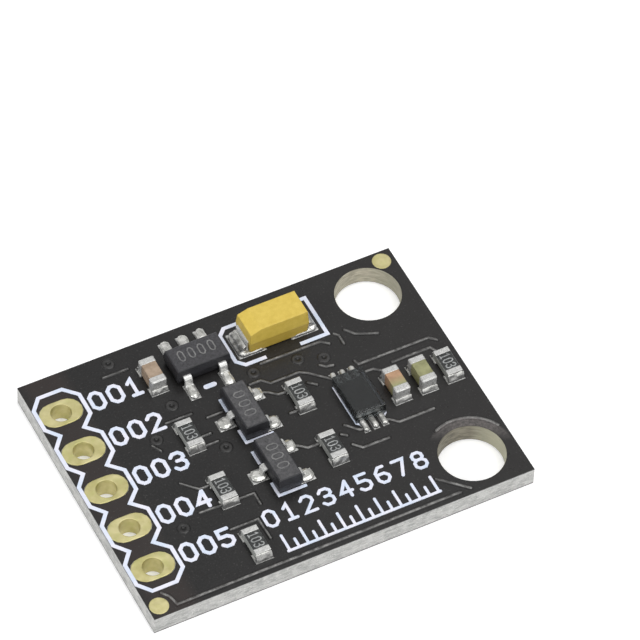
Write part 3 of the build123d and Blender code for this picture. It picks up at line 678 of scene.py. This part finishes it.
def joint_boxes(made):
    """The lowest and highest corner of each loose part of a mesh, in the order of its points."""
    seen = set()
    boxes = []
    for start in made.verts:
        if start in seen:
            continue
        seen.add(start)
        found = [start]
        for vertex in found:
            for edge in vertex.link_edges:
                other = edge.other_vert(vertex)
                if other not in seen:
                    seen.add(other)
                    found.append(other)
        boxes.append([
            Vector([pick(vertex.co[axis] for vertex in found) for axis in range(3)]) for pick in (min, max)
        ])
    return boxes


def add_mounds(mesh, rise):
    """Adds a round mound of that height in mm to the middle of each joint."""
    made = bmesh.new()
    made.from_mesh(mesh)
    bmesh.ops.remove_doubles(made, verts=made.verts, dist=JOIN)
    for low, high in joint_boxes(made):
        middle, half = (low + high) / 2, (high - low) / 2
        middle.z = BOARD_TOP
        spread = half.x * MOUND_SPREAD[0], half.y * MOUND_SPREAD[1], rise, 1
        shape = Matrix.Translation(middle) @ Matrix.Diagonal(spread)
        bmesh.ops.create_uvsphere(made, u_segments=32, v_segments=16, radius=1, matrix=shape)
    made.to_mesh(mesh)
    made.free()


def solder_piece(name, node, turns, rise):
    """A node's joints drawn round: turns is how often they are smoothed, rise the height of their mounds."""
    piece = bpy.data.objects.new(name, nodes[node].data.copy())
    bpy.context.scene.collection.objects.link(piece)
    piece.data.transform(Matrix.Scale(1 / MM, 4))
    top = max(vertex.co.z for vertex in piece.data.vertices)
    if rise:
        add_mounds(piece.data, rise)
    grid = piece.modifiers.new("grid", "REMESH")
    grid.mode = "VOXEL"
    grid.voxel_size = VOXEL
    drawn = piece.modifiers.new("drawn", "SMOOTH")
    drawn.factor = SMOOTHING
    drawn.iterations = turns
    bpy.context.view_layer.update()
    shaped = piece.evaluated_get(bpy.context.evaluated_depsgraph_get())
    mesh = bpy.data.meshes.new_from_object(shaped)
    piece.modifiers.clear()
    piece.data = mesh
    spots = [(vertex.co.copy(), vertex.normal.copy()) for vertex in mesh.vertices]
    low = min(spot.z for spot, normal in spots)
    high = max(spot.z for spot, normal in spots)
    foot = BOARD_TOP - SINK
    flat = []
    for spot, normal in spots:
        spot.z = foot + (spot.z - low) * (top - foot) / (high - low)
        wave = sum(noise.noise(spot * pitch) * height for pitch, height in RIPPLES)
        moved = spot + normal * wave * min(1.0, max(0.0, spot.z - BOARD_TOP) / CALM_FOOT)
        flat += moved.x, moved.y, min(top, moved.z)
    mesh.vertices.foreach_set("co", flat)
    mesh.transform(Matrix.Scale(MM, 4))
    mesh.materials.clear()
    mesh.materials.append(LOOKS["solder"])
    smooth(piece)
    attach(piece, "root")
    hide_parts(node)


for part, turns, rise in (
    ("transistor", 16, 0.2), ("regulator", 14, 0.15), ("resistor", 14, 0),
    ("capacitor", 14, 0), ("tantalum", 14, 0), ("sensor", 6, 0),
):
    solder_piece(f"{part}_joints", f"{part}_solder", turns, rise)


# Light, floor and camera, in metres and watts

def shown_rays(tree):
    """1 for what the camera, mirrors and glass see, 0 for what only lights the board."""
    path = tree.nodes.new("ShaderNodeLightPath")
    total = path.outputs["Is Camera Ray"]
    for other in ("Is Glossy Ray", "Is Transmission Ray"):
        both = tree.nodes.new("ShaderNodeMath")
        both.operation = "MAXIMUM"
        tree.links.new(total, both.inputs[0])
        tree.links.new(path.outputs[other], both.inputs[1])
        total = both.outputs[0]
    return total


# Brightness of the studio, from 0 at the horizon to 1 overhead, the two ends first: a dark band gives
# the metals their contrast
SKY_TONES = ((0.0, 0.85), (1.0, 0.6), (0.22, 0.8), (0.4, 0.16), (0.6, 0.26), (0.8, 0.76))
FLOOR_HALF = 1.5
FLOOR_DROP = 0.02 * MM
FLOOR_TONE = 0.82
FLOOR_GLOW = 0.35
# Name, place, size and power
LAMPS = (
    ("top", (0.07, -0.03, 0.4), 0.3, 0.62),
    ("left", (-0.26, -0.06, 0.2), 0.16, 0.3),
    ("front", (0.06, -0.3, 0.2), 0.3, 0.32),
)
# Camera as fitted to the photograph: angles in degrees, the lens and its sensor in mm
AZIMUTH, ELEVATION, ROLL = -29.181, 51.447, 2.743
AIM = (0.00501, 0.005015, BOARD_TOP * MM)
DISTANCE = 0.253087
LENS, SENSOR_WIDTH = 289.74, 36


def make_world():
    """A studio that lights the board in bands, and is plain white to the camera."""
    world = bpy.data.worlds.new("studio")
    bpy.context.scene.world = world
    world.use_nodes = True
    tree = world.node_tree
    ground = tree.nodes["Background"]
    ground.inputs["Color"].default_value = (1, 1, 1, 1)
    ground.inputs["Strength"].default_value = 1.0
    place = tree.nodes.new("ShaderNodeTexCoord")
    axes = tree.nodes.new("ShaderNodeSeparateXYZ")
    tree.links.new(place.outputs["Generated"], axes.inputs[0])
    ramp = tree.nodes.new("ShaderNodeValToRGB")
    for step, (height, tone) in enumerate(SKY_TONES):
        stop = ramp.color_ramp.elements[step] if step < 2 else ramp.color_ramp.elements.new(height)
        stop.position = height
        stop.color = (tone, tone, tone, 1)
    tree.links.new(axes.outputs["Z"], ramp.inputs[0])
    sky = tree.nodes.new("ShaderNodeBackground")
    tree.links.new(ramp.outputs[0], sky.inputs["Color"])
    path = tree.nodes.new("ShaderNodeLightPath")
    mixed = tree.nodes.new("ShaderNodeMixShader")
    tree.links.new(path.outputs["Is Camera Ray"], mixed.inputs[0])
    tree.links.new(sky.outputs[0], mixed.inputs[1])
    tree.links.new(ground.outputs[0], mixed.inputs[2])
    tree.links.new(mixed.outputs[0], tree.nodes["World Output"].inputs["Surface"])


def make_floor():
    """A pale floor just below the board: it keeps the shadow, and is white to camera, mirrors and glass."""
    mesh = bpy.data.meshes.new("floor")
    size = FLOOR_HALF
    corners = [(x, y, -FLOOR_DROP) for x, y in ((-size, -size), (size, -size), (size, size), (-size, size))]
    mesh.from_pydata(corners, [], [(0, 1, 2, 3)])
    floor = bpy.data.objects.new("floor", mesh)
    bpy.context.scene.collection.objects.link(floor)
    material = bpy.data.materials.new("floor")
    material.use_nodes = True
    tree = material.node_tree
    shader = tree.nodes["Principled BSDF"]
    shader.inputs["Base Color"].default_value = (FLOOR_TONE, FLOOR_TONE, FLOOR_TONE, 1)
    shader.inputs["Roughness"].default_value = 0.9
    shader.inputs["Specular IOR Level"].default_value = 0.1
    shader.inputs["Emission Color"].default_value = (1, 1, 1, 1)
    weight = tree.nodes.new("ShaderNodeMath")
    weight.operation = "MULTIPLY"
    tree.links.new(shown_rays(tree), weight.inputs[0])
    weight.inputs[1].default_value = FLOOR_GLOW
    tree.links.new(weight.outputs[0], shader.inputs["Emission Strength"])
    mesh.materials.append(material)


def make_lamp(name, place, size, power):
    """A round soft lamp that points at the middle of the board's underside."""
    lamp = bpy.data.lights.new(name, "AREA")
    lamp.shape = "DISK"
    lamp.size = size
    lamp.energy = power
    holder = bpy.data.objects.new(name, lamp)
    bpy.context.scene.collection.objects.link(holder)
    holder.location = place
    holder.rotation_mode = "QUATERNION"
    holder.rotation_quaternion = (-Vector(place)).to_track_quat("-Z", "Y")


def make_camera():
    """The camera that fits the photograph's board corners, pads and hole rims."""
    azimuth, elevation, roll = (math.radians(angle) for angle in (AZIMUTH, ELEVATION, ROLL))
    back = Vector((
        math.sin(azimuth) * math.cos(elevation),
        -math.cos(azimuth) * math.cos(elevation),
        math.sin(elevation),
    ))
    level = Vector((math.cos(azimuth), math.sin(azimuth), 0))
    above = back.cross(level)
    right = level * math.cos(roll) + above * math.sin(roll)
    up = above * math.cos(roll) - level * math.sin(roll)
    data = bpy.data.cameras.new("camera")
    data.sensor_width = SENSOR_WIDTH
    data.lens = LENS
    data.clip_start, data.clip_end = 0.01, 10
    camera = bpy.data.objects.new("camera", data)
    bpy.context.scene.collection.objects.link(camera)
    turn = Matrix((right, up, back)).transposed().to_4x4()
    camera.matrix_world = Matrix.Translation(Vector(AIM) + back * DISTANCE) @ turn
    bpy.context.scene.camera = camera


make_world()
make_floor()
for lamp in LAMPS:
    make_lamp(*lamp)
make_camera()
bpy.context.scene.view_settings.view_transform = "Standard"
